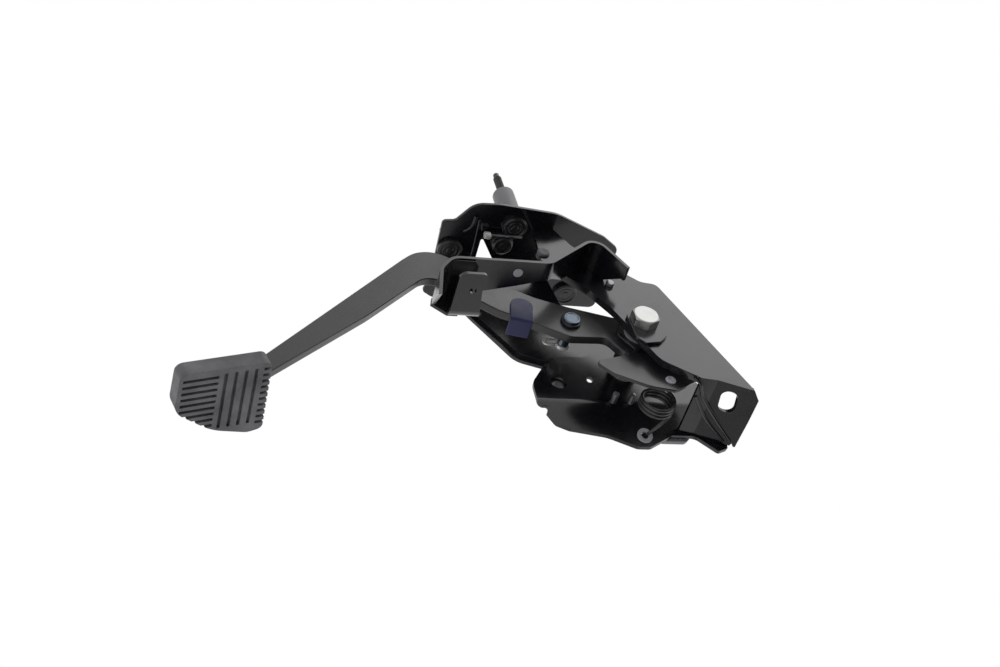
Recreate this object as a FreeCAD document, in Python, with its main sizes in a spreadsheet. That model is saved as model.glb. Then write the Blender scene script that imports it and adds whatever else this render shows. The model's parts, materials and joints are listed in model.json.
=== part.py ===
import FreeCAD, Part
import Sketcher
import math
import os

# Hanging clutch pedal with its box. X is to the right, Y forward to the bulkhead, Z up.
# The pieces are laid out about the pivot axis, which runs along X through y = 0 and z = 0,
# and every piece is then moved so that the upper stud meets the bulkhead at the origin.

Vector = FreeCAD.Vector
os.makedirs("parts", exist_ok=True)
doc = FreeCAD.newDocument("clutch_pedal")
sheet = doc.addObject("Spreadsheet::Sheet", "sizes")

sizes = {
    "sheet_gauge": 2.5,
    "left_face": 25.0,
    "right_face": 17.5,
    "rim_depth": 5.0,
    "plate_front": 100.0,
    "bolt_diameter": 10.0,
    "hex_across": 17.0,
    "hex_height": 7.0,
    "lock_gauge": 2.5,
    "nut_height": 8.0,
    "bolt_thread_spare": 2.5,
    "pivot_collar_diameter": 13.0,
    "pivot_collar_length": 4.4,
    "running_gap": 0.05,
    "side_play": 0.2,
    "bush_wall": 2.0,
    "bush_flange": 1.5,
    "bush_length": 14.0,
    "tube_wall": 3.0,
    "arm_gauge": 6.0,
    "arm_offset": 14.0,
    "lever_gauge": 2.5,
    "strap_gauge": 2.2,
    "strap_top": 47.0,
    "strap_height": 29.0,
    "tab_hole": 4.6,
    "stud_disc": 18.0,
    "stud_disc_gauge": 3.5,
    "stud_seat": 6.6,
    "stud_neck": 5.4,
    "stud_thread": 6.0,
    "stud_length": 20.0,
    "stud_tip_diameter": 4.4,
    "stud_tip_length": 5.0,
    "spacer_diameter": 15.5,
    "spacer_length": 35.0,
    "spacer_gap": 0.2,
    "pin_seat": 9.0,
    "pin_diameter": 8.0,
    "pin_head": 12.0,
    "pin_head_gauge": 2.2,
    "pin_collar": 14.0,
    "pin_collar_gauge": 2.0,
    "pin_below": 17.0,
    "clip_wire": 1.8,
    "spring_wire": 2.6,
    "spring_mean": 22.4,
    "spring_turns": 3.25,
    "pad_drop": 281.0,
    "pad_depth": 10.0,
    "pad_tilt": 15.6,
    "groove_depth": 2.0,
    "groove_width": 2.0,
    "groove_pitch": 4.7,
    "pad_plate_gauge": 3.0,
}

for row, (alias, value) in enumerate(sizes.items(), start=1):
    sheet.set("A%d" % row, alias)
    sheet.set("B%d" % row, str(value))
    sheet.setAlias("B%d" % row, alias)
doc.recompute()


def size(alias):
    return float(sheet.get(alias))


gauge = size("sheet_gauge")
left_outer = -size("left_face")
left_inner = left_outer + gauge
right_inner = size("right_face")
right_outer = right_inner + gauge
plate_front = size("plate_front")
plate_back = plate_front + gauge
bulkhead = plate_back + size("spacer_length")
slope_start = -30.0
slope_end = (28.0, -64.0)
arm_top = -size("arm_offset")
arm_bottom = arm_top + size("arm_gauge")
stud_places = {
    "upper": (-25.0, -67.0),
    "lower": (-2.0, -109.0),
    "right": (31.0, -13.0),
}
origin_stud = stud_places["upper"]
frame = FreeCAD.Placement(Vector(-origin_stud[0], -bulkhead, -origin_stud[1]), FreeCAD.Rotation())


def new_body(name):
    body = doc.addObject("PartDesign::Body", name)
    body.Label = name
    body.Placement = frame
    return body


def origin_plane(body, role):
    return next(item for item in body.Origin.OriginFeatures if item.Role == role)


def rounded_outline(points):
    """Lines through the points, with an arc at each point that has a radius."""
    corners = []
    count = len(points)
    for index, point in enumerate(points):
        here = Vector(point[0], point[1], 0)
        radius = point[2] if len(point) > 2 else 0
        if radius == 0:
            corners.append((here, here, None))
            continue
        before = Vector(*points[index - 1][:2], 0) - here
        after = Vector(*points[(index + 1) % count][:2], 0) - here
        before.normalize()
        after.normalize()
        half = before.getAngle(after) / 2
        reach = radius / math.tan(half)
        middle = (before + after).normalize()
        centre = here + middle * (radius / math.sin(half))
        corners.append((here + before * reach, here + after * reach, (centre, radius, middle)))
    edges = []
    for index, (start, end, arc) in enumerate(corners):
        if arc:
            centre, radius, middle = arc
            edges.append(Part.Arc(start, centre - middle * radius, end))
        following = corners[(index + 1) % count][0]
        if end.distanceToPoint(following) > 1e-6:
            edges.append(Part.LineSegment(end, following))
    return edges


def strip_outline(path, thickness):
    """Outline of a bent strip whose one face follows the path, open at both ends.
    A positive thickness lies to the left of the path's direction."""
    lines = []
    for first, second in zip(path, path[1:]):
        along = Vector(second[0] - first[0], second[1] - first[1], 0).normalize()
        side = Vector(-along.y, along.x, 0) * thickness
        lines.append((Vector(first[0], first[1], 0) + side, along))
    offset = [(lines[0][0].x, lines[0][0].y)]
    for index in range(1, len(path) - 1):
        base, along = lines[index - 1]
        other_base, other_along = lines[index]
        cross = along.x * other_along.y - along.y * other_along.x
        gap = other_base - base
        step = (gap.x * other_along.y - gap.y * other_along.x) / cross
        corner = base + along * step
        radius = path[index][2] if len(path[index]) > 2 else 0
        turned_in = (cross > 0) == (thickness > 0)
        change = -abs(thickness) if turned_in else abs(thickness)
        offset.append((corner.x, corner.y, max(radius + change, 0) if radius else 0))
    end = Vector(path[-1][0], path[-1][1], 0)
    along = lines[-1][1]
    end = end + Vector(-along.y, along.x, 0) * thickness
    offset.append((end.x, end.y))
    return rounded_outline(list(path) + offset[::-1])


def new_sketch(body, name, role, place):
    sketch = body.newObject("Sketcher::SketchObject", name)
    sketch.AttachmentSupport = [(origin_plane(body, role), "")]
    sketch.MapMode = "FlatFace"
    sketch.AttachmentOffset = FreeCAD.Placement(Vector(0, 0, 0), FreeCAD.Rotation())
    sketch.setExpression("AttachmentOffset.Base.z", place)
    return sketch


def add_circle(sketch, centre, diameter):
    """A hole or disc whose diameter follows an expression."""
    circle = sketch.addGeometry(Part.Circle(Vector(centre[0], centre[1], 0), Vector(0, 0, 1), 1.0))
    constraint = sketch.addConstraint(Sketcher.Constraint("Diameter", circle, 2.0))
    sketch.setExpression("Constraints[%d]" % constraint, diameter)


def pad(body, name, role, place, edges, length, circles=(), backwards=False):
    sketch = new_sketch(body, name + "_outline", role, place)
    for edge in edges:
        sketch.addGeometry(edge)
    for centre, diameter in circles:
        add_circle(sketch, centre, diameter)
    feature = body.newObject("PartDesign::Pad", name)
    feature.Profile = sketch
    feature.setExpression("Length", length)
    feature.Reversed = backwards
    doc.recompute()
    return feature


def pocket(body, name, role, place, edges, length, circles=(), backwards=False):
    before = body.Shape.Volume
    sketch = new_sketch(body, name + "_outline", role, place)
    for edge in edges:
        sketch.addGeometry(edge)
    for centre, diameter in circles:
        add_circle(sketch, centre, diameter)
    feature = body.newObject("PartDesign::Pocket", name)
    feature.Profile = sketch
    feature.setExpression("Length", length)
    feature.Reversed = backwards
    doc.recompute()
    if body.Shape.Volume > before - 0.01:
        raise RuntimeError(name + " cuts nothing")
    return feature


def faceted_wire(route, radius, sides):
    """Round wire along a route of points, as a closed solid with flat faces."""
    points = [Vector(*point) for point in route]
    side = None
    rings = []
    for index, point in enumerate(points):
        before = points[max(index - 1, 0)]
        after = points[min(index + 1, len(points) - 1)]
        along = (after - before).normalize()
        if side is None:
            side = along.cross(Vector(0.3, 0.2, 0.93))
        side = (side - along * side.dot(along)).normalize()
        up = along.cross(side)
        ring = []
        for step in range(sides):
            angle = 2 * math.pi * step / sides
            ring.append(point + side * (radius * math.cos(angle)) + up * (radius * math.sin(angle)))
        rings.append(ring)
    faces = [Part.Face(Part.makePolygon(rings[0] + rings[0][:1]))]
    faces.append(Part.Face(Part.makePolygon(rings[-1] + rings[-1][:1])))
    for ring, other in zip(rings, rings[1:]):
        for step in range(sides):
            corner = (step + 1) % sides
            faces.append(Part.Face(Part.makePolygon([ring[step], ring[corner], other[corner], ring[step]])))
            faces.append(Part.Face(Part.makePolygon([ring[step], other[corner], other[step], ring[step]])))
    solid = Part.Solid(Part.Shell(faces))
    if solid.Volume < 0:
        solid.reverse()
    return solid


def make_pedal_bracket():
    """One folded sheet: left cheek with a turned rim, rear web, right cheek with ear and skirt."""
    body = new_body("pedal_bracket")
    path = [(right_inner, 40.0), (right_inner, slope_start, 12.0), slope_end]
    pad(body, "right_sheet", "XY_Plane", "-75", strip_outline(path, gauge), "142")
    right_edge = [(20, -14, 12), (14, 14, 10), (2, 38, 12), (-9, 54, 4), (-34, 52, 10), (-48, 64),
                  (-60, 64), (-63.5, 54, 3), (-53, 39, 10), (-53, 22, 6), (-61.5, 5, 6), (-61.5, -4, 8),
                  (-54, -24, 30), (-50, -50, 6), (-46.5, -59, 5), (-39, -64), (-34, -62, 1.5),
                  (-34, -69.5, 4), (-14, -69, 14), (13, -50, 14), (13, -26, 10)]
    frame_edges = rounded_outline([(-80, -90), (60, -90), (60, 80), (-80, 80)])
    pocket(body, "right_cheek", "YZ_Plane", "45", frame_edges + rounded_outline(right_edge), "40")
    web = [(-50, 27), (-51.5, 38, 6), (-62, 66)]
    pad(body, "rear_web", "YZ_Plane", "-sizes.left_face", strip_outline(web, -gauge), "sizes.left_face + 25.4")
    corners = [(-40, 61), (left_outer, 61), (-17, 66.5), (27.5, 65.3), (23, 62.5), (30, 60), (60, 60),
               (60, 80), (-40, 80)]
    pocket(body, "web_corners", "XZ_Plane", "70", rounded_outline(corners), "23")
    left_edge = [(plate_front, -53), (plate_front, -38), (82, -29, 14), (64, -8, 10), (53, 5, 6), (46, 13, 10),
                 (44.5, 24, 6), (-60.5, 61.5, 2),
                 (-51.5, 38, 6), (-50, 27, 6), (-34, 3, 16), (14, -16.5, 40), (34, -28.5, 16), (52, -46.5),
                 (62, -56, 8)]
    pad(body, "left_cheek", "YZ_Plane", "-sizes.left_face", rounded_outline(left_edge), "sizes.sheet_gauge")
    pocket(body, "cable_notch", "YZ_Plane", "-20", [], "10", [((71, -52.5), "7")])
    rim = [(-50, 27), (-34, 3, 16), (14, -16.5, 40), (34, -28.5, 16), (52, -46.5)]
    pad(body, "rim", "YZ_Plane", "-sizes.left_face", strip_outline(rim, gauge), "sizes.rim_depth")
    pad(body, "pivot_boss", "YZ_Plane", "-(sizes.left_face - sizes.sheet_gauge)", [], "sizes.pivot_collar_length",
        [((0, 0), "sizes.pivot_collar_diameter")])
    pocket(body, "pivot_hole", "YZ_Plane", "60", [], "120", [((0, 0), "sizes.bolt_diameter + 0.4")])
    pocket(body, "ear_hole", "YZ_Plane", "30", [], "20", [(ear_hole_place, "11")])
    slot = [(-12, -30, 1.9), (-6, -28, 1.9), (-6, -24, 1.9), (-12, -26, 1.9)]
    pocket(body, "ear_slot", "YZ_Plane", "30", rounded_outline(slot), "20")
    pocket(body, "leg_hole", "YZ_Plane", "40", [], "30", [(spring_bush_place, "7.6")])
    web_hole = [(-19.5, 42.5, 5), (-2, 44.7, 5), (-0.5, 55.5, 5), (-18, 53.3, 5)]
    pocket(body, "web_hole", "XZ_Plane", "80", rounded_outline(web_hole), "60")
    return body


def turned(name, place, profile):
    """A body turned about its own X axis, from points of (distance along X, radius)."""
    body = new_body(name)
    body.Placement = frame * place
    sketch = new_sketch(body, name + "_profile", "XY_Plane", "0")
    for edge in rounded_outline(profile):
        sketch.addGeometry(edge)
    feature = body.newObject("PartDesign::Revolution", name + "_turning")
    feature.Profile = sketch
    feature.ReferenceAxis = (sketch, ["H_Axis"])
    feature.Angle = 360
    doc.recompute()
    return body


def many_sided(radius, sides=24):
    """Outline of a small round shape drawn with flat sides, which keeps its mesh light."""
    corners = []
    for step in range(sides):
        angle = 2 * math.pi * step / sides
        corners.append((radius * math.cos(angle), radius * math.sin(angle)))
    return rounded_outline(corners)


def stepped(name, place, steps, bore=0, sides=24):
    """A small round piece along its own X axis, from steps of (start, end, radius)."""
    body = new_body(name)
    body.Placement = frame * place
    for number, (start, end, radius) in enumerate(steps):
        pad(body, "step_%d" % number, "YZ_Plane", str(start), many_sided(radius, sides), str(end - start))
    if bore:
        end = steps[-1][1]
        round_bore = many_sided(bore / math.cos(math.pi / sides), sides)
        pocket(body, "bore", "YZ_Plane", str(end), round_bore, str(end - steps[0][0]))
    return body


def along_x(height, depth):
    """A place on an axis parallel to the pivot, given by its Y and Z."""
    return FreeCAD.Placement(Vector(0, height, depth), FreeCAD.Rotation())


def along_y(across, depth):
    """A place on an axis that points forward, given by its X and Z."""
    return FreeCAD.Placement(Vector(across, 0, depth), FreeCAD.Rotation(Vector(0, 0, 1), 90))


def make_bulkhead_plate():
    body = new_body("bulkhead_plate")
    outline = [(-25, -119, 3), (-26, -110, 4), (-41, -99, 14), (-42, -80, 30), (-38, -38, 30), (-21, 3, 14),
               (-12, 16, 6), (44, 14, 5), (43, -112, 8), (38, -120, 3), (25, -117, 20)]
    window = [(-14, -88, 1), (24, -88, 8), (24, -40, 8), (6, -40, 8), (6, -75, 6)]
    pad(body, "pressing", "XZ_Plane", "-sizes.plate_front", rounded_outline(outline) + rounded_outline(window),
        "sizes.sheet_gauge", [(place, "sizes.stud_seat") for place in stud_places.values()], True)


def make_side_plate():
    body = new_body("side_plate")
    outline = [(plate_front, -116), (57, -94, 40), (17, -71, 12), (8, -47, 12), (-2, -20, 10), (-15, -14, 10),
               (-15, 14, 12), (16, 14, 12), (34, -10, 15), (64, -26, 15), (plate_front, -30)]
    pad(body, "panel", "YZ_Plane", "sizes.right_face + sizes.sheet_gauge", rounded_outline(outline),
        "sizes.sheet_gauge", [((0, 0), "sizes.bolt_diameter + 0.4")])
    rim = [(96, -117), (56, -97, 44), (14, -73, 16), (5, -48)]
    pad(body, "rim", "YZ_Plane", "sizes.right_face + 2 * sizes.sheet_gauge", strip_outline(rim, -8),
        "sizes.sheet_gauge")


def make_bridge_strap():
    """A strip on edge, from the top of the left cheek to the hook with its drilled tab."""
    body = new_body("bridge_strap")
    strap = size("strap_gauge")
    path = [(32, -8), (62, -23, 8), (31, -62, 14), (30.5, -129, 10), (20, -138, 14), (-7, -144)]
    pad(body, "strip", "YZ_Plane", "-sizes.strap_top", strip_outline(path, strap), "sizes.strap_height")
    lower = [(-10, -112), (-19, -112), (-27, -82), (-32, -66), (-32, -58), (left_outer, -47),
             (left_outer, -15), (-36, -9), (-36, 5), (-10, 5)]
    pocket(body, "lower_edge", "XZ_Plane", "-8", rounded_outline(lower), "80")
    pocket(body, "rivet_hole", "XZ_Plane", "-25", [], "15", [(strap_rivet_place, "6.4")])
    near = [(-60, -7), (-47, -7, 3), (-16, 18), (-16, -20), (-60, -20)]
    pocket(body, "turned_end", "XY_Plane", "-125", rounded_outline(near), "30")
    shelf_outside = size("strap_height") - size("strap_top")
    tab_front = 3.0
    hook = [(shelf_outside, 30), (shelf_outside, tab_front, 8), (-60, tab_front)]
    pad(body, "hook", "XY_Plane", "-132.3", strip_outline(hook, -strap), "22.3")
    corner = [(7, -132.3), (16, -141.5), (21, -140.3), (31, -131), (31, -125), (7, -125)]
    pad(body, "shelf_corner", "YZ_Plane", str(shelf_outside - strap), rounded_outline(corner), "sizes.strap_gauge")
    around_tab = [(-62, -134), (-50, -134), (-50, -132.3), (-56.3, -132.3, 5), (-56.3, -114, 4), (-50, -112.8, 4),
                  (-44, -115.2, 5), (-22, -112), (-15, -111.5), (-15, -105), (-62, -105)]
    pocket(body, "tab_edge", "XZ_Plane", "2", rounded_outline(around_tab), "8.5",
           [(tab_hole_place, "sizes.tab_hole")])


def make_studs():
    seat = size("stud_seat") / 2
    neck = size("stud_neck") / 2
    thread = size("stud_thread") / 2
    disc = size("stud_disc") / 2
    tip = size("stud_tip_diameter") / 2
    face = plate_front - size("stud_disc_gauge")
    for name, place in stud_places.items():
        thread_start = bulkhead if name == "upper" else plate_back
        thread_end = thread_start + size("stud_length")
        thread_tip = thread_end + size("stud_tip_length")
        if name == "upper":
            turned("upper_stud", along_y(*place),
                   [(face, 0), (face, disc), (plate_front, disc), (plate_front, seat), (plate_back, seat),
                    (plate_back, neck), (thread_start, neck), (thread_start, thread), (thread_end, thread),
                    (thread_end, tip), (thread_tip, tip), (thread_tip, 0)])
        else:
            body = stepped(name + "_stud", along_y(*place),
                           [(face, plate_front, disc), (plate_front, plate_back, seat)], sides=36)
            pad(body, "thread", "YZ_Plane", str(plate_back), [], "sizes.stud_length",
                [((0, 0), "sizes.stud_thread")])
    spacer_bore = thread + size("spacer_gap")
    stepped("stud_spacer", along_y(*stud_places["upper"]),
            [(plate_back, bulkhead, size("spacer_diameter") / 2)], spacer_bore)


def hexagon(across, height=0, depth=0):
    corner = across / math.sqrt(3)
    points = []
    for step in range(6):
        angle = math.radians(60 * step)
        points.append((height + corner * math.cos(angle), depth + corner * math.sin(angle)))
    return points


def make_pivot():
    bolt = size("bolt_diameter") / 2
    lock_top = left_outer - size("lock_gauge")
    nut_face = right_outer + gauge
    body = new_body("pivot_bolt")
    pad(body, "head", "YZ_Plane", "-(sizes.left_face + sizes.lock_gauge + sizes.hex_height)",
        rounded_outline(hexagon(size("hex_across"))), "sizes.hex_height")
    shank_length = nut_face + size("nut_height") + size("bolt_thread_spare") - lock_top
    pad(body, "shank", "YZ_Plane", "-(sizes.left_face + sizes.lock_gauge)", [], str(shank_length),
        [((0, 0), "sizes.bolt_diameter")])
    lock = new_body("lock_plate")
    outline = [(9, -10, 3), (-15, -9.5, 2), (-21, -4), (-19, 7), (-13, 13), (6, 16, 4)]
    pad(lock, "plate", "YZ_Plane", "-(sizes.left_face + sizes.lock_gauge)", rounded_outline(outline),
        "sizes.lock_gauge", [((0, 0), "sizes.bolt_diameter")])
    nut = new_body("pivot_nut")
    pad(nut, "nut", "YZ_Plane", str(nut_face), rounded_outline(hexagon(size("hex_across"))),
        "sizes.nut_height", [((0, 0), "sizes.bolt_diameter")])
    bore = bolt + size("running_gap")
    sleeve = bore + size("bush_wall")
    tube_outer = sleeve + size("tube_wall")
    flange = size("bush_flange")
    collar_end = left_inner + size("pivot_collar_length")
    tube_left = collar_end + size("side_play") + flange
    tube_right = right_inner - size("side_play") - flange
    stepped("pivot_tube", along_x(0, 0), [(tube_left, tube_right, tube_outer)], sleeve)
    bush = size("bush_length")
    stepped("left_pivot_bush", along_x(0, 0),
            [(tube_left - flange, tube_left, tube_outer), (tube_left, tube_left + bush, sleeve)], bore)
    stepped("right_pivot_bush", along_x(0, 0),
            [(tube_right - bush, tube_right, sleeve), (tube_right, tube_right + flange, tube_outer)], bore)


def pad_point(forward, up):
    """Y and Z of a point of the pedal pad, from its tread's middle."""
    tilt = math.radians(size("pad_tilt"))
    height = -72.5 + forward * math.cos(tilt) + up * math.sin(tilt)
    depth = -size("pad_drop") - forward * math.sin(tilt) + up * math.cos(tilt)
    return height, depth


tube_expression = "sizes.bolt_diameter + 2 * (sizes.running_gap + sizes.bush_wall + sizes.tube_wall)"
pin_place = (12.3, -44.4)
strap_rivet_place = (-38.0, -83.6)
tab_hole_place = (-42.9, -121.2)
ear_hole_place = (-13.1, -50.3)
spring_bush_place = (-54.0, 1.8)
lever_pin_place = (-44.0, 9.5)


def make_pedal_arm():
    body = new_body("pedal_arm")
    weld_top = pad_point(size("pad_depth"), 26)
    weld_foot = pad_point(size("pad_depth"), 4)
    outline = [weld_foot, (68, -151, 45), (87, -130, 22), (57, -100, 60), (36, -64, 16), (28, -42, 14),
               (18, -6, 8), (12, 16, 12), (-16, 14, 12), (-15, -15, 10), (-2, -22, 8), (-3, -48, 12),
               (12, -76, 20), (20, -93, 20), (29, -104, 60), (54, -135, 14), (8, -183, 200), weld_top]
    pad(body, "bar", "YZ_Plane", "-sizes.arm_offset", rounded_outline(outline), "sizes.arm_gauge",
        [((0, 0), tube_expression), (pin_place, "sizes.pin_seat")])


def make_spring_lever():
    body = new_body("spring_lever")
    outline = [(-28.5, -39, 3), (-20, -13, 12), (-15.5, -6, 3), (0, -16, 9), (16, -8, 9), (12, 17, 9), (-15, 27, 15),
               (-41, 32, 8), (-53.5, 11, 3), (-50.5, -6, 30), (-39.5, -29, 12)]
    pad(body, "plate", "YZ_Plane", "-(sizes.arm_offset + sizes.lever_gauge)", rounded_outline(outline),
        "sizes.lever_gauge", [((0, 0), tube_expression), (lever_pin_place, "5")])
    far = arm_top
    near = arm_top - size("lever_gauge")
    stepped("lever_rivet", along_x(*lever_pin_place), [(near - 1.0, near, 3.6), (near, far + 3.6, 2.5)])


def make_clevis_pin():
    pin = size("pin_diameter") / 2
    seat = size("pin_seat") / 2
    collar_face = arm_top - size("pin_collar_gauge")
    head_face = collar_face - size("pin_head_gauge")
    end = arm_bottom + size("pin_below")
    head = size("pin_head") / 2
    body = stepped("clevis_pin", along_x(*pin_place),
                   [(head_face, collar_face, head), (collar_face, arm_bottom, seat), (arm_bottom, end, pin)])
    hole_place = end - 3
    pocket(body, "clip_hole", "XY_Plane", "10", [], "20", [((hole_place, 0), "sizes.clip_wire")])
    stepped("pin_collar", along_x(*pin_place), [(collar_face, arm_top, size("pin_collar") / 2)], seat)
    wire = size("clip_wire") / 2
    across = hole_place
    height = pin_place[0]
    side = height + pin + wire
    top = pin_place[1] + 3
    low = pin_place[1] - 11
    route = [(across, height, top), (across, height, low), (across, height + 1.5, low - 2),
             (across, side - 1.5, low - 2), (across, side, low), (across, side, top - 4)]
    clip = doc.addObject("Part::Feature", "hairpin_clip")
    clip.Label = "hairpin_clip"
    clip.Shape = faceted_wire(route, wire, 8)
    clip.Placement = frame


def make_stop_clip():
    body = new_body("stop_clip")
    edge_place = Vector(0, 11.3, -79.4)
    body.Placement = frame * FreeCAD.Placement(edge_place, FreeCAD.Rotation(Vector(1, 0, 0), 13))
    path = [(arm_top, 21.5), (arm_top, 0, 0.4), (arm_top + 13, 0)]
    pad(body, "saddle", "XY_Plane", "-7.6", strip_outline(path, -1.5), "15.2")
    around_top = [(10, -9), (23, -9), (23, 9), (10, 9), (10, 7.6), (21.4, 7.6, 7), (21.4, -7.6, 7), (10, -7.6)]
    pocket(body, "rounded_top", "YZ_Plane", "-5", rounded_outline(around_top), "20")


def make_pad():
    outline = [(-27, 30, 5), (-27, -24, 5), (2, -25, 14), (21, -1, 40), (28, 22, 12), (26, 31, 4)]
    inset = [(-24, 27, 3), (-24, -21, 3), (1, -22, 12), (18, -1, 38), (25, 21, 10), (24, 28, 2)]
    height, depth = pad_point(0, 0)
    place = FreeCAD.Placement(Vector(-10, height, depth),
                              FreeCAD.Rotation(Vector(1, 0, 0), -size("pad_tilt")))
    rubber = new_body("pedal_pad")
    rubber.Placement = frame * place
    pad(rubber, "cover", "XZ_Plane", "0", rounded_outline(outline), "sizes.pad_depth", (), True)
    pocket(rubber, "plate_recess", "XZ_Plane", "-sizes.pad_depth", rounded_outline(inset),
           "sizes.pad_plate_gauge", (), True)
    width = size("groove_width")
    grooves = []
    for step in range(9):
        across = -22 + step * size("groove_pitch")
        foot = -22 + max(0, across - 4) * 0.9
        grooves.append((across, across + width, foot, -1))
    for step in range(4):
        up = 2 + step * 6
        grooves.append((-23, 20, up, up + width))
    for step in range(10):
        across = -23 + step * size("groove_pitch")
        grooves.append((across, across + width, 25.5, 32))
    edges = []
    for left, right, low, high in grooves:
        edges += rounded_outline([(left, low), (right, low), (right, high), (left, high)])
    pocket(rubber, "grooves", "XZ_Plane", "0", edges, "sizes.groove_depth")
    plate = new_body("pad_plate")
    plate.Placement = frame * place
    pad(plate, "plate", "XZ_Plane", "-(sizes.pad_depth - sizes.pad_plate_gauge)", rounded_outline(inset),
        "sizes.pad_plate_gauge", (), True)


def on_slope(height, depth):
    """A place on the inner face of the right cheek's sloping skirt, X pointing out through it."""
    run = slope_end[1] - slope_start
    rise = slope_end[0] - right_inner
    across = right_inner + rise * (height - slope_start) / run
    return FreeCAD.Placement(Vector(across, height, depth),
                             FreeCAD.Rotation(Vector(0, 0, 1), math.degrees(math.atan2(-rise, run)) + 180))


def make_small_parts():
    nut = new_body("ear_nut")
    pad(nut, "nut", "YZ_Plane", str(right_outer), rounded_outline(hexagon(14, *ear_hole_place)), "6",
        [(ear_hole_place, "8.6")])
    face = 30.4
    far = face + size("strap_gauge") + 0.3
    stepped("strap_rivet", along_y(*strap_rivet_place), [(face - 0.4, far + 0.4, 3.2)])
    screw = new_body("cheek_screw")
    pad(screw, "head", "YZ_Plane", str(left_outer - 3), rounded_outline(hexagon(5.2, 40.2, -12.1)), "3")
    stepped("spring_bush", on_slope(*spring_bush_place), [(-1.5, 0, 5.4)], 2.6)
    buffer = new_body("skirt_buffer")
    buffer.Placement = frame * on_slope(-51, 26.5)
    block = [(-5, -10), (5, -10), (5, 10, 4.9), (-5, 10, 4.9)]
    pad(buffer, "block", "YZ_Plane", "sizes.sheet_gauge", rounded_outline(block), "5")
    bumper = new_body("return_buffer")
    block = [(-48.02, 31), (-45.2, 31, 1), (-45.2, 37.5, 1), (-48.91, 37.5)]
    pad(bumper, "block", "YZ_Plane", "-19", rounded_outline(block), "8")


def make_over_centre_spring():
    """Coil about an axis parallel to the pivot, with one leg to the lever and one to the skirt."""
    mean = size("spring_mean") / 2
    pitch = size("spring_wire") + 0.2
    turns = size("spring_turns")
    steps = 16
    route = [(-12.2, -38.0, 10.8)]
    for step in range(round(turns * steps) + 1):
        angle = math.radians(45) + 2 * math.pi * step / steps
        route.append((pitch * (step / steps - turns / 2), -48.7 + mean * math.cos(angle), 4 + mean * math.sin(angle)))
    route.append((25.2, -54, 1.8))
    spring = doc.addObject("Part::Feature", "over_centre_spring")
    spring.Label = "over_centre_spring"
    spring.Shape = faceted_wire(route, size("spring_wire") / 2, 6)
    spring.Placement = frame


make_pedal_bracket()
make_bulkhead_plate()
make_side_plate()
make_bridge_strap()
make_studs()
make_pivot()
make_pedal_arm()
make_spring_lever()
make_clevis_pin()
make_stop_clip()
make_pad()
make_small_parts()
make_over_centre_spring()

for item in doc.Objects:
    if "Invalid" in item.State or "Error" in item.State:
        raise RuntimeError(item.Name + " failed")
pieces = doc.findObjects("PartDesign::Body")
pieces += [item for item in doc.Objects if item.TypeId == "Part::Feature"]
for piece in pieces:
    shape = piece.Shape
    if shape.isNull() or not shape.isValid():
        raise RuntimeError(piece.Label + " has no valid shape")
for piece in pieces:
    print(piece.Label, round(piece.Shape.Volume), len(piece.Shape.Solids))
    piece.Shape.exportStep("parts/" + piece.Label + ".step")
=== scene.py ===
import bpy
import json
import math
from mathutils import Matrix, Vector


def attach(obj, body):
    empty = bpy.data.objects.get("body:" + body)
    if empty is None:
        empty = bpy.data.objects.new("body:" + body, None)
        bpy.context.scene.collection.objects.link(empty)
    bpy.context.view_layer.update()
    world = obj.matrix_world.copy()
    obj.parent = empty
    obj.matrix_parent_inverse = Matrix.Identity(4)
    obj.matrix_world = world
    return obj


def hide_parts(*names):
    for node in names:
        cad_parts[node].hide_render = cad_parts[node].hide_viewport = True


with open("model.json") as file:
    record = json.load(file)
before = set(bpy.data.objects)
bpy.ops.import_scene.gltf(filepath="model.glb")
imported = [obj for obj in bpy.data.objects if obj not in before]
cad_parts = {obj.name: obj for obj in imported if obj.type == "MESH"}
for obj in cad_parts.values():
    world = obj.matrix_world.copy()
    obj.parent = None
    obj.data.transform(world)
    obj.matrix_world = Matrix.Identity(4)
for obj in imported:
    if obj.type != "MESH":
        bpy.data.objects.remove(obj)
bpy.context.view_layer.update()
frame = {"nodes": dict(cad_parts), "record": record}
nodes = frame["nodes"]
print("frame loaded:", len(nodes), "nodes")

# sizes are in millimetres and places are measured from the pivot, as the pieces were drawn
mm = 0.001
pivot = Vector((0.025, -0.1375, 0.067))
smoothBelow = {   # degrees between faces that still shade as one
    "sheet": 32,
    "turned": 28,
    "wire": 40,
    "liner": 35,
}


def fromPivot(x, y, z):
    return pivot + Vector((x, y, z)) * mm


def newMaterial(name, color, roughness, metallic=0.0, coat=0.0, coatRoughness=0.1, ior=1.5):
    mat = bpy.data.materials.new(name)
    mat.use_nodes = True
    shader = mat.node_tree.nodes["Principled BSDF"]
    shader.inputs["Base Color"].default_value = (color[0], color[1], color[2], 1.0)
    shader.inputs["Roughness"].default_value = roughness
    shader.inputs["Metallic"].default_value = metallic
    shader.inputs["Coat Weight"].default_value = coat
    shader.inputs["Coat Roughness"].default_value = coatRoughness
    shader.inputs["IOR"].default_value = ior
    return mat


def objectNoise(mat, scale, detail, roughness, stretch=None):
    tree = mat.node_tree
    coords = tree.nodes.new("ShaderNodeTexCoord")
    noise = tree.nodes.new("ShaderNodeTexNoise")
    noise.inputs["Scale"].default_value = scale
    noise.inputs["Detail"].default_value = detail
    noise.inputs["Roughness"].default_value = roughness
    if stretch:
        mapping = tree.nodes.new("ShaderNodeMapping")
        mapping.inputs["Scale"].default_value = stretch
        tree.links.new(coords.outputs["Object"], mapping.inputs["Vector"])
        tree.links.new(mapping.outputs["Vector"], noise.inputs["Vector"])
    else:
        tree.links.new(coords.outputs["Object"], noise.inputs["Vector"])
    return noise.outputs["Fac"]


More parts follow.
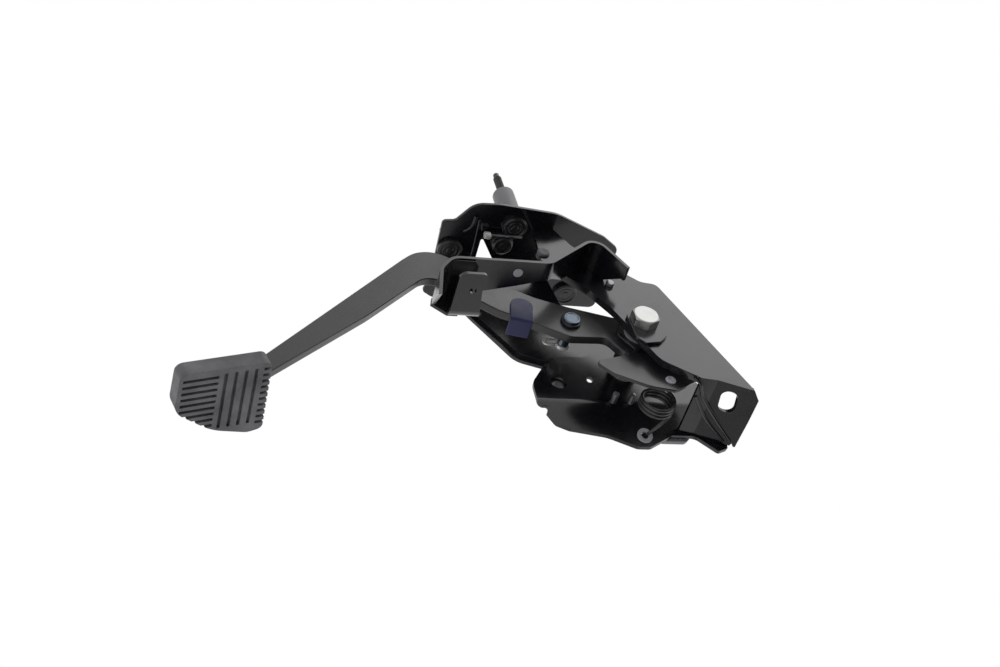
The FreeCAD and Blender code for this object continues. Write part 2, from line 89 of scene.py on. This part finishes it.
def rampColor(mat, value, stops):
    tree = mat.node_tree
    ramp = tree.nodes.new("ShaderNodeValToRGB")
    elements = ramp.color_ramp.elements
    elements[0].position = stops[0][0]
    elements[0].color = (*stops[0][1], 1.0)
    elements[1].position = stops[-1][0]
    elements[1].color = (*stops[-1][1], 1.0)
    for place, color in stops[1:-1]:
        elements.new(place).color = (*color, 1.0)
    tree.links.new(value, ramp.inputs["Fac"])
    tree.links.new(ramp.outputs["Color"], tree.nodes["Principled BSDF"].inputs["Base Color"])


noiseSpan = (0.35, 0.65)   # nearly all of a noise's values lie between these


def rampRoughness(mat, value, low, high):
    tree = mat.node_tree
    span = tree.nodes.new("ShaderNodeMapRange")
    span.inputs["From Min"].default_value = noiseSpan[0]
    span.inputs["From Max"].default_value = noiseSpan[1]
    span.inputs["To Min"].default_value = low
    span.inputs["To Max"].default_value = high
    tree.links.new(value, span.inputs["Value"])
    tree.links.new(span.outputs["Result"], tree.nodes["Principled BSDF"].inputs["Roughness"])


def addBump(mat, layers):
    # each layer is (height value, strength, distance in metres)
    tree = mat.node_tree
    last = None
    for value, strength, distance in layers:
        bump = tree.nodes.new("ShaderNodeBump")
        bump.inputs["Strength"].default_value = strength
        bump.inputs["Distance"].default_value = distance
        tree.links.new(value, bump.inputs["Height"])
        if last:
            tree.links.new(last, bump.inputs["Normal"])
        last = bump.outputs["Normal"]
    tree.links.new(last, tree.nodes["Principled BSDF"].inputs["Normal"])


def shadeBy(color, factor, lift=0.0):
    return tuple(min(channel * factor + lift, 1.0) for channel in color)


paintLook = {
    "coat": 0.35,
    "coatRoughness": 0.16,
    # noises are (scale, detail, roughness) and bumps are (strength, height in metres)
    "waves": (28.0, 3.0, 0.55),
    "grain": (420.0, 3.0, 0.55),
    "dust": (950.0, 2.0, 0.7),
    "dustFactor": 4.0,
    "dustLift": 0.03,
    "dustSpan": (0.66, 0.74),   # noise below the first is clean paint, above the second dust
    "smoother": 0.06,           # how far the roughness goes below and above its middle
    "rougher": 0.10,
    "waveBump": (0.25, 0.0006),
    "grainBump": (0.18, 0.00006),
}


def blackPaint(name, color, roughness, look=paintLook):
    mat = newMaterial(name, color, roughness, coat=look["coat"], coatRoughness=look["coatRoughness"])
    waves = objectNoise(mat, *look["waves"])
    grain = objectNoise(mat, *look["grain"])
    specks = objectNoise(mat, *look["dust"])
    rampRoughness(mat, waves, roughness - look["smoother"], roughness + look["rougher"])
    clean, dusty = look["dustSpan"]
    dust = shadeBy(color, look["dustFactor"], look["dustLift"])
    rampColor(mat, specks, [(0.0, color), (clean, color), (dusty, dust)])
    addBump(mat, [(waves, *look["waveBump"]), (grain, *look["grainBump"])])
    return mat


plateLook = {
    "cloud": (160.0, 5.0, 0.55),
    "grain": (900.0, 3.0, 0.6),
    "grainStretch": (1.0, 1.0, 6.0),
    "cloudSpan": (0.3, 0.7),
    "darkFactor": 0.78,
    "smoother": 0.08,
    "rougher": 0.12,
    "grainBump": (0.2, 0.00005),
}


def zincPlate(name, color, roughness, metallic=1.0, look=plateLook):
    mat = newMaterial(name, color, roughness, metallic=metallic)
    cloud = objectNoise(mat, *look["cloud"])
    grain = objectNoise(mat, *look["grain"], look["grainStretch"])
    dark, full = look["cloudSpan"]
    rampColor(mat, cloud, [(dark, shadeBy(color, look["darkFactor"])), (full, color)])
    rampRoughness(mat, cloud, roughness - look["smoother"], roughness + look["rougher"])
    addBump(mat, [(grain, *look["grainBump"])])
    return mat


plasticLook = {
    "cloud": (90.0, 3.0, 0.55),
    "grain": (1400.0, 2.0, 0.55),
    "cloudSpan": (0.3, 0.75),
    "darkFactor": 0.86,
    "smoother": 0.05,
    "rougher": 0.08,
    "grainBump": (0.15, 0.00005),
}


def mouldedPlastic(name, color, roughness, look=plasticLook):
    mat = newMaterial(name, color, roughness)
    cloud = objectNoise(mat, *look["cloud"])
    grain = objectNoise(mat, *look["grain"])
    dark, full = look["cloudSpan"]
    rampColor(mat, cloud, [(dark, shadeBy(color, look["darkFactor"])), (full, color)])
    rampRoughness(mat, cloud, roughness - look["smoother"], roughness + look["rougher"])
    addBump(mat, [(grain, *look["grainBump"])])
    return mat


rubberLook = {
    "ior": 1.45,
    "cloud": (60.0, 4.0, 0.55),
    "grain": (1800.0, 3.0, 0.7),
    "cloudSpan": (0.35, 0.8),
    "dustFactor": 2.2,
    "dustLift": 0.012,
    "smoother": 0.08,
    "rougher": 0.1,
    "grainBump": (0.35, 0.00012),
}


def rubber(name, color, roughness, look=rubberLook):
    mat = newMaterial(name, color, roughness, ior=look["ior"])
    cloud = objectNoise(mat, *look["cloud"])
    grain = objectNoise(mat, *look["grain"])
    clean, dusty = look["cloudSpan"]
    rampColor(mat, cloud, [(clean, color), (dusty, shadeBy(color, look["dustFactor"], look["dustLift"]))])
    rampRoughness(mat, grain, roughness - look["smoother"], roughness + look["rougher"])
    addBump(mat, [(grain, *look["grainBump"])])
    return mat


# one finish for each material slot of the record: its name, colour and roughness
finishes = {
    "black_paint": blackPaint("blackPaint", (0.0060, 0.0061, 0.0084), 0.19),
    "pedal_paint": blackPaint("pedalPaint", (0.0080, 0.0080, 0.0102), 0.28),
    "zinc": zincPlate("zinc", (0.80, 0.80, 0.78), 0.34),
    "grey_plastic": mouldedPlastic("greyPlastic", (0.17, 0.17, 0.18), 0.42),
    "white_plastic": mouldedPlastic("whitePlastic", (0.42, 0.41, 0.43), 0.40),
    "bush_plastic": mouldedPlastic("bushPlastic", (0.24, 0.24, 0.25), 0.40),
    "clip_finish": mouldedPlastic("clipPlastic", (0.016, 0.019, 0.085), 0.46),
    "dark_steel": blackPaint("darkPhosphate", (0.012, 0.011, 0.013), 0.38),
    "spring_steel": blackPaint("springSteel", (0.016, 0.015, 0.017), 0.32),
    "pad_rubber": rubber("padRubber", (0.080, 0.078, 0.084), 0.47),
}
# pieces of the zinc slot that look duller, bluer or brighter in the photograph
extraFinishes = {
    "blueZinc": zincPlate("blueZinc", (0.20, 0.24, 0.29), 0.30),
    "dullZinc": zincPlate("dullZinc", (0.34, 0.34, 0.36), 0.42),
    # a lit copy of zinc, paler and less metallic: painted light on the small zinc pieces that sit in shade,
    # and the glints of the pivot coil
    "paintedLitZinc": zincPlate("paintedLitZinc", (0.86, 0.86, 0.84), 0.34, 0.45),
    # a darker copy of zinc for the bolt head: painted shade that tones down the lamp's reflection on its
    # face
    "boltZincPaintedShade": zincPlate("boltZincPaintedShade", (0.52, 0.52, 0.51), 0.34),
    "bareRivet": mouldedPlastic("bareRivet", (0.42, 0.42, 0.46), 0.42),
}
slotOf = {}
for entry in frame["record"]["subparts"]:
    slotOf[entry["node"]] = entry["material_slot"]
for name, obj in nodes.items():
    obj.data.materials.clear()
    obj.data.materials.append(finishes[slotOf[name]])
print("materials assigned")


def selectOnly(obj):
    bpy.ops.object.select_all(action="DESELECT")
    obj.select_set(True)
    bpy.context.view_layer.objects.active = obj


edgeBreak = {
    # node: (edge radius, segments)
    "pedal_bracket": (0.55, 3),
    "bulkhead_plate": (0.55, 3),
    "side_plate": (0.55, 3),
    "bridge_strap": (0.5, 3),
    "lock_plate": (0.5, 3),
    "pedal_arm": (1.2, 4),
    "spring_lever": (0.5, 3),
    "stop_clip": (0.4, 3),
    "ear_nut": (0.4, 2),
    "cheek_screw": (0.4, 2),
    "spring_bush": (0.35, 3),
    "skirt_buffer": (0.8, 3),
    "return_buffer": (0.5, 3),
    "pedal_pad": (0.35, 2),
    "pad_plate": (0.5, 2),
}
ownFinish = {"cheek_screw": extraFinishes["dullZinc"]}   # where the slot's own finish is too bright
bendAngle = 38   # edges sharper than this many degrees are rounded
meshClean = {"weld": 0.02, "flatDegrees": 1.0}   # joins doubled points and split flat faces


def bodyOf(node):
    for body, members in frame["record"]["behaviour"]["bodies"].items():
        if node in members:
            return body


def evenShading(piece):
    # large flat faces keep their own direction, so the rounded edges don't pull their shine about
    weights = piece.modifiers.new("shine", "WEIGHTED_NORMAL")
    weights.weight = 100   # the largest faces count most
    weights.keep_sharp = True
    bpy.ops.object.modifier_apply(modifier="shine")


def softenEdges(node, radius, segments):
    selectOnly(nodes[node])
    bpy.ops.object.duplicate()
    piece = bpy.context.active_object
    piece.name = node + "_finished"
    bpy.ops.object.mode_set(mode="EDIT")
    bpy.ops.mesh.select_all(action="SELECT")
    bpy.ops.mesh.remove_doubles(threshold=meshClean["weld"] * mm)
    bpy.ops.mesh.dissolve_limited(angle_limit=math.radians(meshClean["flatDegrees"]))
    bpy.ops.object.mode_set(mode="OBJECT")
    bevel = piece.modifiers.new("edges", "BEVEL")
    bevel.width = radius * mm
    bevel.segments = segments
    bevel.limit_method = "ANGLE"
    bevel.angle_limit = math.radians(bendAngle)
    bevel.miter_outer = "MITER_ARC"
    bpy.ops.object.modifier_apply(modifier="edges")
    bpy.ops.object.shade_smooth_by_angle(angle=math.radians(smoothBelow["sheet"]))
    evenShading(piece)
    if node in ownFinish:
        piece.data.materials[0] = ownFinish[node]
    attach(piece, bodyOf(node))
    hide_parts(node)


for node, (radius, segments) in edgeBreak.items():
    softenEdges(node, radius, segments)
print("sheet edges softened")

turnOf = {"x": (0.0, math.pi / 2, 0.0), "y": (-math.pi / 2, 0.0, 0.0), "z": (0.0, 0.0, 0.0)}
wayOf = {"x": Vector((1.0, 0.0, 0.0)), "y": Vector((0.0, 1.0, 0.0)), "z": Vector((0.0, 0.0, 1.0))}
roundSides = 56   # sides of a turned piece
crest = (0.35, 0.6)   # a thread's crest lies between these shares of its pitch


def outwardNormals():
    bpy.ops.mesh.select_all(action="SELECT")
    bpy.ops.mesh.normals_make_consistent(inside=False)
    bpy.ops.object.mode_set(mode="OBJECT")


def placeAtOrigin(piece):
    selectOnly(piece)
    bpy.ops.object.transform_apply(location=True, rotation=True, scale=True)


def turnPiece(name, axis, centre, rings, segments=roundSides):
    # rings are (place along the axis, radius), from the face that the driver sees to the far end
    way = wayOf[axis]
    start = fromPivot(*(Vector(centre) + way * rings[0][0]))
    bpy.ops.object.select_all(action="DESELECT")
    bpy.ops.mesh.primitive_circle_add(vertices=segments, radius=rings[0][1] * mm, fill_type="NGON",
                                      location=start, rotation=turnOf[axis])
    piece = bpy.context.active_object
    piece.name = name
    bpy.ops.object.mode_set(mode="EDIT")
    bpy.ops.mesh.select_all(action="SELECT")
    for (place, radius), (nextPlace, nextRadius) in zip(rings, rings[1:]):
        bpy.ops.mesh.extrude_region_move(TRANSFORM_OT_translate={"value": way * (nextPlace - place) * mm})
        if nextRadius != radius:
            grow = nextRadius / radius
            here = fromPivot(*(Vector(centre) + way * nextPlace))
            bpy.ops.transform.resize(value=(grow, grow, grow), center_override=here)
    outwardNormals()
    placeAtOrigin(piece)
    bpy.ops.object.shade_smooth_by_angle(angle=math.radians(smoothBelow["turned"]))
    return piece


def finishPiece(piece, node, finish):
    piece.data.materials.clear()
    piece.data.materials.append(finish)
    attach(piece, bodyOf(node))
    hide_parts(node)


def threadRings(start, end, radius, depth, pitch):
    rings = []
    place = start
    while place + pitch <= end:
        rings += [(place, radius - depth), (place + pitch * crest[0], radius),
                  (place + pitch * crest[1], radius)]
        place += pitch
    rings.append((end, radius - depth))
    return rings


studs = {
    "centres": {
        "upper_stud": (-25.0, 0.0, -67.0),
        "lower_stud": (-2.0, 0.0, -109.0),
        "right_stud": (31.0, 0.0, -13.0),
    },
    "face": 96.5,
    # the disc's rings from its middle to its rim: (depth below the face, share of the disc's radius)
    "discRings": [(0.3, 0.24), (0.7, 0.30), (0.7, 0.46), (0.45, 0.50), (0.45, 0.56), (0.75, 0.60),
                  (0.75, 0.74), (0.0, 0.80), (0.0, 0.87), (0.35, 0.91), (0.35, 0.96), (0.8, 1.0)],
    "plateFront": 100.0,
    "plateBack": 102.5,
    "discRadius": 9.0,
    "threadRadius": 3.0,
    "threadDepth": 0.34,
    "threadPitch": 1.25,
    "upperThread": (137.5, 157.5),
    "upperTip": 162.5,
    "tipRadius": 2.2,
    "tipEntry": 0.6,      # from the thread's end to the plain tip
    "tipChamfer": 0.8,
    "tipEndShare": 0.6,
    "shortEnd": 122.5,    # end of the two studs without a spacer
}


def makeStuds(values):
    disc = values["discRadius"]
    shaft = values["threadRadius"]
    thread = (shaft, values["threadDepth"], values["threadPitch"])
    tip = values["tipRadius"]
    for node, centre in values["centres"].items():
        rings = [(values["face"] + depth, disc * share) for depth, share in values["discRings"]]
        rings += [(values["plateFront"], disc), (values["plateFront"], shaft)]
        if node == "upper_stud":
            rings += threadRings(*values["upperThread"], *thread)
            rings += [(values["upperThread"][1] + values["tipEntry"], tip),
                      (values["upperTip"] - values["tipChamfer"], tip),
                      (values["upperTip"], tip * values["tipEndShare"])]
        else:
            rings += threadRings(values["plateBack"], values["shortEnd"], *thread)
        finishPiece(turnPiece(node + "_turned", "y", centre, rings), node, finishes["dark_steel"])


makeStuds(studs)

spacer = {
    "centre": (-25.0, 0.0, -67.0),
    "sides": 72,
    "rings": [(102.5, 7.1), (103.1, 7.75), (136.6, 7.75), (137.2, 7.45), (137.5, 7.0), (137.5, 3.7),
              (136.6, 3.25)],
}
tube = turnPiece("stud_spacer_turned", "y", spacer["centre"], spacer["rings"], spacer["sides"])
finishPiece(tube, "stud_spacer", finishes["grey_plastic"])

clevisPin = {
    "centre": (0.0, 12.3, -44.4),
    "pinRings": [(-17.75, 3.9), (-18.15, 4.4), (-18.2, 5.2), (-18.0, 5.7), (-17.5, 6.0), (-16.0, 6.0),
                 (-16.0, 4.5), (-8.0, 4.5), (-8.0, 4.0), (8.2, 4.0), (8.8, 3.6), (9.0, 2.8)],
    "collarRings": [(-16.0, 6.3), (-15.8, 6.8), (-15.4, 7.0), (-14.3, 7.0), (-14.0, 6.7)],
}
pin = turnPiece("clevis_pin_turned", "x", clevisPin["centre"], clevisPin["pinRings"])
finishPiece(pin, "clevis_pin", extraFinishes["blueZinc"])
collar = turnPiece("pin_collar_turned", "x", clevisPin["centre"], clevisPin["collarRings"])
finishPiece(collar, "pin_collar", finishes["dark_steel"])

rivets = {
    # node: (axis, centre, rings)
    "lever_rivet": ("x", (0.0, -44.0, 9.5),
                    [(-17.0, 1.1), (-17.45, 1.5), (-17.5, 2.6), (-17.25, 3.3), (-16.6, 3.6), (-16.5, 2.5),
                     (-10.7, 2.5), (-10.4, 2.2)]),
    "strap_rivet": ("y", (-38.0, 0.0, -83.6),
                    [(30.0, 2.4), (30.02, 2.9), (30.3, 3.2), (33.0, 3.2), (33.3, 2.8)]),
}
for node, (axis, centre, rings) in rivets.items():
    finishPiece(turnPiece(node + "_turned", axis, centre, rings), node, extraFinishes["bareRivet"])
print("turned pieces made")

hexPieces = {
    # node: (lowest x, highest x, size across flats, chamfered at low, chamfered at high)
    "pivot_bolt": (-34.5, -27.5, 17.0, True, False),
    "pivot_nut": (22.5, 30.5, 17.0, True, True),
}
hexEdges = {
    "faceShare": 0.475,       # radius of the chamfered face, as a share of the size across flats
    "chamferDegrees": 30,
    "spare": 0.2,             # how far the chamfering cone reaches past the corners
    "coneSides": 72,
    "radius": 0.22,
    "segments": 2,
    "sharperThan": 20,        # only edges sharper than this many degrees are rounded
}
shank = {
    "plainRings": [(-27.5, 5.0), (12.0, 5.0)],
    "threadEnd": 33.0,
    "threadRadius": 5.0,
    "threadDepth": 0.45,
    "pitch": 1.5,
}
pivotCentre = (0.0, 0.0, 0.0)


def makeHex(node, low, high, across, chamferLow, chamferHigh):
    corner = across / math.sqrt(3)
    prism = turnPiece(node + "_formed", "x", pivotCentre, [(low, corner), (high, corner)], 6)
    flat = across * hexEdges["faceShare"]
    wide = corner + hexEdges["spare"]
    drop = (wide - flat) * math.tan(math.radians(hexEdges["chamferDegrees"]))
    cone = [(low, flat), (low + drop, wide)] if chamferLow else [(low, wide)]
    cone += [(high - drop, wide), (high, flat)] if chamferHigh else [(high, wide)]
    cutter = turnPiece("chamferCutter", "x", pivotCentre, cone, hexEdges["coneSides"])
    selectOnly(prism)
    meet = prism.modifiers.new("chamfer", "BOOLEAN")
    meet.operation = "INTERSECT"
    meet.object = cutter
    bpy.ops.object.modifier_apply(modifier="chamfer")
    selectOnly(cutter)
    bpy.ops.object.delete()
    selectOnly(prism)
    softer = prism.modifiers.new("edges", "BEVEL")
    softer.width = hexEdges["radius"] * mm
    softer.segments = hexEdges["segments"]
    softer.limit_method = "ANGLE"
    softer.angle_limit = math.radians(hexEdges["sharperThan"])
    bpy.ops.object.modifier_apply(modifier="edges")
    bpy.ops.object.shade_smooth_by_angle(angle=math.radians(smoothBelow["turned"]))
    evenShading(prism)
    return prism


def makeBolt(values):
    head = makeHex("pivot_bolt", *hexPieces["pivot_bolt"])
    plain = values["plainRings"]
    thread = threadRings(plain[-1][0], values["threadEnd"], values["threadRadius"], values["threadDepth"],
                         values["pitch"])
    rod = turnPiece("pivot_bolt_shank", "x", pivotCentre, plain + thread)
    selectOnly(head)
    rod.select_set(True)
    bpy.ops.object.join()
    finishPiece(head, "pivot_bolt", extraFinishes["boltZincPaintedShade"])


makeBolt(shank)
finishPiece(makeHex("pivot_nut", *hexPieces["pivot_nut"]), "pivot_nut", finishes["zinc"])
print("pivot bolt and nut made")

spring = {
    "weld": 0.01,
    "fatten": 0.11,   # makes up for what the rounding takes off the flat-sided wire
    "levels": 2,
}


def makeSpring(values):
    selectOnly(nodes["over_centre_spring"])
    bpy.ops.object.duplicate()
    piece = bpy.context.active_object
    piece.name = "over_centre_spring_wound"
    bpy.ops.object.mode_set(mode="EDIT")
    bpy.ops.mesh.select_all(action="SELECT")
    bpy.ops.mesh.remove_doubles(threshold=values["weld"] * mm)
    bpy.ops.transform.shrink_fatten(value=values["fatten"] * mm)
    bpy.ops.object.mode_set(mode="OBJECT")
    rounder = piece.modifiers.new("round", "SUBSURF")
    rounder.levels = values["levels"]
    rounder.render_levels = values["levels"]
    bpy.ops.object.modifier_apply(modifier="round")
    bpy.ops.object.shade_smooth()
    finishPiece(piece, "over_centre_spring", finishes["spring_steel"])


makeSpring(spring)
wireSmoothness = {"round": 4, "along": 6}


def bentWire(name, points, radius, finish):
    # the wire cuts its corners in smooth bends, like a wire bent round pins
    curve = bpy.data.curves.new(name + "Route", "CURVE")
    curve.dimensions = "3D"
    curve.bevel_depth = radius * mm
    curve.bevel_resolution = wireSmoothness["round"]
    curve.use_fill_caps = True
    line = curve.splines.new("NURBS")
    line.points.add(len(points) - 1)
    for point, place in zip(line.points, points):
        point.co = (*fromPivot(*place), 1.0)
    line.use_endpoint_u = True
    line.order_u = 3
    line.resolution_u = wireSmoothness["along"]
    piece = bpy.data.objects.new(name, curve)
    bpy.context.collection.objects.link(piece)
    selectOnly(piece)
    bpy.ops.object.convert(target="MESH")
    piece = bpy.context.active_object
    bpy.ops.object.shade_smooth_by_angle(angle=math.radians(smoothBelow["wire"]))
    piece.data.materials.clear()
    piece.data.materials.append(finish)
    return piece


def carry(piece, node):
    # a piece with no node of its own moves with this node's body
    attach(piece, bodyOf(node))


hairpin = {
    "across": 6.0,
    "radius": 0.8,
    # (y, z) of the wire's points, from the end in the pin's hole round the loop to the free end
    "route": [(12.3, -41.0), (12.3, -47.0), (12.0, -51.0), (11.3, -54.5), (11.8, -56.6), (13.6, -57.8),
              (15.6, -57.2), (16.9, -55.2), (16.9, -52.0), (16.6, -49.6), (17.2, -47.2), (18.0, -45.4)],
    "capRings": [(5.0, 3.9), (5.2, 4.7), (7.6, 4.7), (8.6, 4.0), (9.0, 2.6)],
}


def makeHairpin(values):
    points = [(values["across"], height, depth) for height, depth in values["route"]]
    piece = bentWire("hairpin_clip_bent", points, values["radius"], extraFinishes["paintedLitZinc"])
    finishPiece(piece, "hairpin_clip", extraFinishes["paintedLitZinc"])
    cap = turnPiece("pin_end_cap", "x", clevisPin["centre"], values["capRings"])
    cap.data.materials.append(extraFinishes["paintedLitZinc"])
    carry(cap, "clevis_pin")


makeHairpin(hairpin)
print("spring and hairpin clip made")

# ridges pressed into the sheets
pressedBeads = {
    # name: (node, ridge radius, points along the ridge)
    "webBeadUpper": ("pedal_bracket", 1.5,
                     [(-24.2, -48.0, 23.0), (-21.0, -49.9, 27.5), (-16.0, -50.2, 29.5), (-8.6, -50.6, 33.0),
                      (7.3, -54.2, 47.2), (21.0, -59.2, 61.0)]),
    "webBeadLower": ("pedal_bracket", 1.3,
                     [(-9.0, -49.9, 28.0), (0.0, -50.8, 34.0), (10.9, -52.6, 42.5), (23.0, -58.0, 57.5)]),
    "plateBead": ("bulkhead_plate", 1.5,
                  [(-31.3, 100.2, -96.3), (-25.6, 100.2, -96.2), (-19.6, 100.2, -97.9),
                   (-17.1, 100.2, -102.2)]),
    "plateFold": ("bulkhead_plate", 0.9,
                  [(-28.5, 100.2, -93.2), (-13.8, 100.2, -92.0), (3.4, 100.2, -91.6)]),
}
for name, (node, radius, points) in pressedBeads.items():
    carry(bentWire(name, points, radius, finishes["black_paint"]), node)

# grommets, the keeper at the push rod's window and small pins, which have no node of their own
smallTurnings = {
    # name: (node, axis, centre, rings, finish)
    "notchGrommet": ("pedal_bracket", "x", (0.0, 71.0, -52.5),
                     [(-26.6, 1.4), (-27.0, 2.4), (-26.9, 3.6), (-26.2, 4.4), (-25.0, 4.5), (-25.0, 3.4),
                      (-22.5, 3.4), (-22.5, 4.5), (-21.6, 4.3), (-21.2, 2.6)],
                     finishes["pad_rubber"]),
    "plateGrommet": ("bulkhead_plate", "y", (-11.0, 0.0, -73.0),
                     [(94.2, 1.6), (94.0, 2.6), (95.0, 3.1), (95.2, 4.8), (94.2, 5.2), (94.0, 6.2),
                      (94.6, 7.0), (97.0, 7.3), (97.2, 7.9), (100.0, 7.9)],
                     finishes["dark_steel"]),
    "keeperNut": ("bulkhead_plate", "z", (-19.2, 95.2, 0.0),
                  [(-88.6, 2.0), (-88.3, 2.6), (-84.6, 2.6), (-84.3, 2.2), (-83.6, 1.3)],
                  extraFinishes["paintedLitZinc"]),
    "keeperRod": ("bulkhead_plate", "z", (-19.2, 95.6, 0.0),
                  [(-84.0, 0.9), (-60.8, 0.9), (-60.6, 0.6)],
                  extraFinishes["dullZinc"]),
    "cheekPinLow": ("pedal_bracket", "x", (0.0, -30.0, -16.1),
                    [(9.6, 1.5), (9.8, 2.1), (17.6, 2.3)],
                    extraFinishes["dullZinc"]),
    "bushCore": ("pedal_bracket", "x", (0.0, -54.0, 1.8),
                 [(24.9, 1.6), (25.1, 2.5), (27.4, 2.7)],
                 finishes["spring_steel"]),
    "cheekPinHigh": ("pedal_bracket", "x", (0.0, -30.5, -4.0),
                     [(9.6, 1.2), (9.8, 1.7), (17.6, 1.9)],
                     extraFinishes["dullZinc"]),
}
smallSides = 40
for name, (node, axis, centre, rings, finish) in smallTurnings.items():
    piece = turnPiece(name, axis, centre, rings, smallSides)
    piece.data.materials.append(finish)
    carry(piece, node)

# the small coil round the pivot, behind the left cheek
pivotCoil = {
    "radius": 8.6,
    "wire": 0.75,
    "start": -21.6,
    "end": -19.0,
    "turns": 2.5,
    "stepsPerTurn": 18,
}


def makePivotCoil(values):
    points = []
    steps = int(values["turns"] * values["stepsPerTurn"])
    for step in range(steps + 1):
        angle = 2.0 * math.pi * step / values["stepsPerTurn"]
        across = values["start"] + (values["end"] - values["start"]) * step / steps
        points.append((across, values["radius"] * math.cos(angle), values["radius"] * math.sin(angle)))
    carry(bentWire("pivotCoil", points, values["wire"], extraFinishes["paintedLitZinc"]), "pedal_bracket")


makePivotCoil(pivotCoil)

# a small plate with two turned lips inside the strap's hook
hookLiner = {
    "corners": ((-46.0, -130.5), (-34.0, -114.5)),   # (x, z)
    "face": 29.6,
    "gauge": 1.0,
    "lip": 3.0,
    "lipSpread": 0.6,      # how far a lip leans outwards, as a share of its height
    "lipNarrowing": 0.7,
    "edgeRadius": 0.3,
    "edgeSegments": 2,
}


def makeHookLiner(values):
    (left, low), (right, high) = values["corners"]
    bpy.ops.object.select_all(action="DESELECT")
    middle = fromPivot((left + right) / 2, values["face"], (low + high) / 2)
    bpy.ops.mesh.primitive_cube_add(size=1.0, location=middle)
    piece = bpy.context.active_object
    piece.name = "hookLiner"
    piece.scale = ((right - left) * mm, values["gauge"] * mm, (high - low) * mm)
    placeAtOrigin(piece)
    bpy.ops.object.mode_set(mode="EDIT")
    for side in (-1.0, 1.0):
        bpy.ops.mesh.select_all(action="DESELECT")
        bpy.ops.object.mode_set(mode="OBJECT")
        for face in piece.data.polygons:
            face.select = face.normal.z * side > 0.9   # the end that faces this way
        bpy.ops.object.mode_set(mode="EDIT")
        bpy.ops.mesh.select_mode(type="FACE")
        lip = values["lip"] * mm
        spread = lip * values["lipSpread"] * side
        bpy.ops.mesh.extrude_region_move(TRANSFORM_OT_translate={"value": (0.0, -lip, spread)})
        bpy.ops.transform.resize(value=(values["lipNarrowing"], 1.0, 1.0), center_override=middle)
    outwardNormals()
    softer = piece.modifiers.new("edges", "BEVEL")
    softer.width = values["edgeRadius"] * mm
    softer.segments = values["edgeSegments"]
    bpy.ops.object.modifier_apply(modifier="edges")
    bpy.ops.object.shade_smooth_by_angle(angle=math.radians(smoothBelow["liner"]))
    piece.data.materials.append(finishes["dark_steel"])
    carry(piece, "bridge_strap")


makeHookLiner(hookLiner)
print("beads, grommets and small fittings made")

cameraSetup = {
    "place": (-0.5393, -0.7855, -0.3133),
    "right": (-0.2435, -0.2080, 0.9473),
    "forward": (0.6157, 0.7216, 0.3168),
    "lens": 50.0,
    "sensor": 36.0,
    "nearest": 0.01,
}


def addCamera(setup):
    bpy.ops.object.camera_add(location=setup["place"])
    camera = bpy.context.active_object
    right = Vector(setup["right"]).normalized()
    forward = Vector(setup["forward"]).normalized()
    up = right.cross(forward).normalized()
    turn = Matrix((right, up, -forward)).transposed()
    camera.rotation_euler = turn.to_euler()
    camera.data.lens = setup["lens"]
    camera.data.sensor_width = setup["sensor"]
    camera.data.clip_start = setup["nearest"]
    bpy.context.scene.camera = camera


# lamps, camera, floor and room are placed in metres
lamps = {
    # name: (place, aimed at, width, height, watts)
    "skyPanel": ((-0.95, 1.15, 0.90), (0.02, -0.10, 0.0), 1.3, 1.0, 4.1),
    "leftPanel": ((-1.30, 0.10, 0.55), (0.02, -0.10, 0.0), 0.8, 0.8, 1.5),
    "floorFill": ((0.1, -0.5, -0.45), (0.02, -0.10, 0.0), 0.9, 0.9, 0.5),
}


def addLamp(name, place, target, width, height, watts):
    bpy.ops.object.light_add(type="AREA", location=place)
    lamp = bpy.context.active_object
    lamp.name = name
    lamp.data.shape = "RECTANGLE"
    lamp.data.size = width
    lamp.data.size_y = height
    lamp.data.energy = watts
    aim = Vector(target) - Vector(place)
    lamp.rotation_euler = aim.to_track_quat("-Z", "Y").to_euler()


addCamera(cameraSetup)
for name, values in lamps.items():
    addLamp(name, *values)

studio = {
    "floorHeight": -0.50,
    "floorSize": 6.0,
    "floorColor": (0.93, 0.93, 0.93),
    "floorRoughness": 0.8,
    "skyStrength": 1.0,
    "brightSide": (0.6157, 0.7216, 0.3168),   # towards the white table, the dark room lies opposite
    "darkTone": 0.045,
    "darkEnd": -0.45,
    "brightStart": 0.15,
}


def shadeStudio(tree, values):
    # what the camera sees directly is white; lamps and reflections get the room's light and dark sides
    background = tree.nodes["Background"]
    coords = tree.nodes.new("ShaderNodeTexCoord")
    along = tree.nodes.new("ShaderNodeVectorMath")
    along.operation = "DOT_PRODUCT"
    along.inputs[1].default_value = values["brightSide"]
    tree.links.new(coords.outputs["Generated"], along.inputs[0])
    span = tree.nodes.new("ShaderNodeMapRange")
    span.interpolation_type = "SMOOTHSTEP"
    span.inputs["From Min"].default_value = values["darkEnd"]
    span.inputs["From Max"].default_value = values["brightStart"]
    span.inputs["To Min"].default_value = values["darkTone"]
    span.inputs["To Max"].default_value = values["skyStrength"]
    tree.links.new(along.outputs["Value"], span.inputs["Value"])
    rays = tree.nodes.new("ShaderNodeLightPath")
    pick = tree.nodes.new("ShaderNodeMix")
    tree.links.new(rays.outputs["Is Camera Ray"], pick.inputs["Factor"])
    tree.links.new(span.outputs["Result"], pick.inputs["A"])
    pick.inputs["B"].default_value = 1.0
    background.inputs["Color"].default_value = (1.0, 1.0, 1.0, 1.0)
    tree.links.new(pick.outputs["Result"], background.inputs["Strength"])


bpy.ops.mesh.primitive_plane_add(size=studio["floorSize"], location=(0, 0, studio["floorHeight"]))
floor = bpy.context.active_object
floor.name = "floor"
floor.data.materials.append(mouldedPlastic("floorPaper", studio["floorColor"], studio["floorRoughness"]))
world = bpy.data.worlds.new("studio")
bpy.context.scene.world = world
world.use_nodes = True
shadeStudio(world.node_tree, studio)
bpy.context.scene.view_settings.view_transform = "Standard"
print("camera, lights and floor placed")
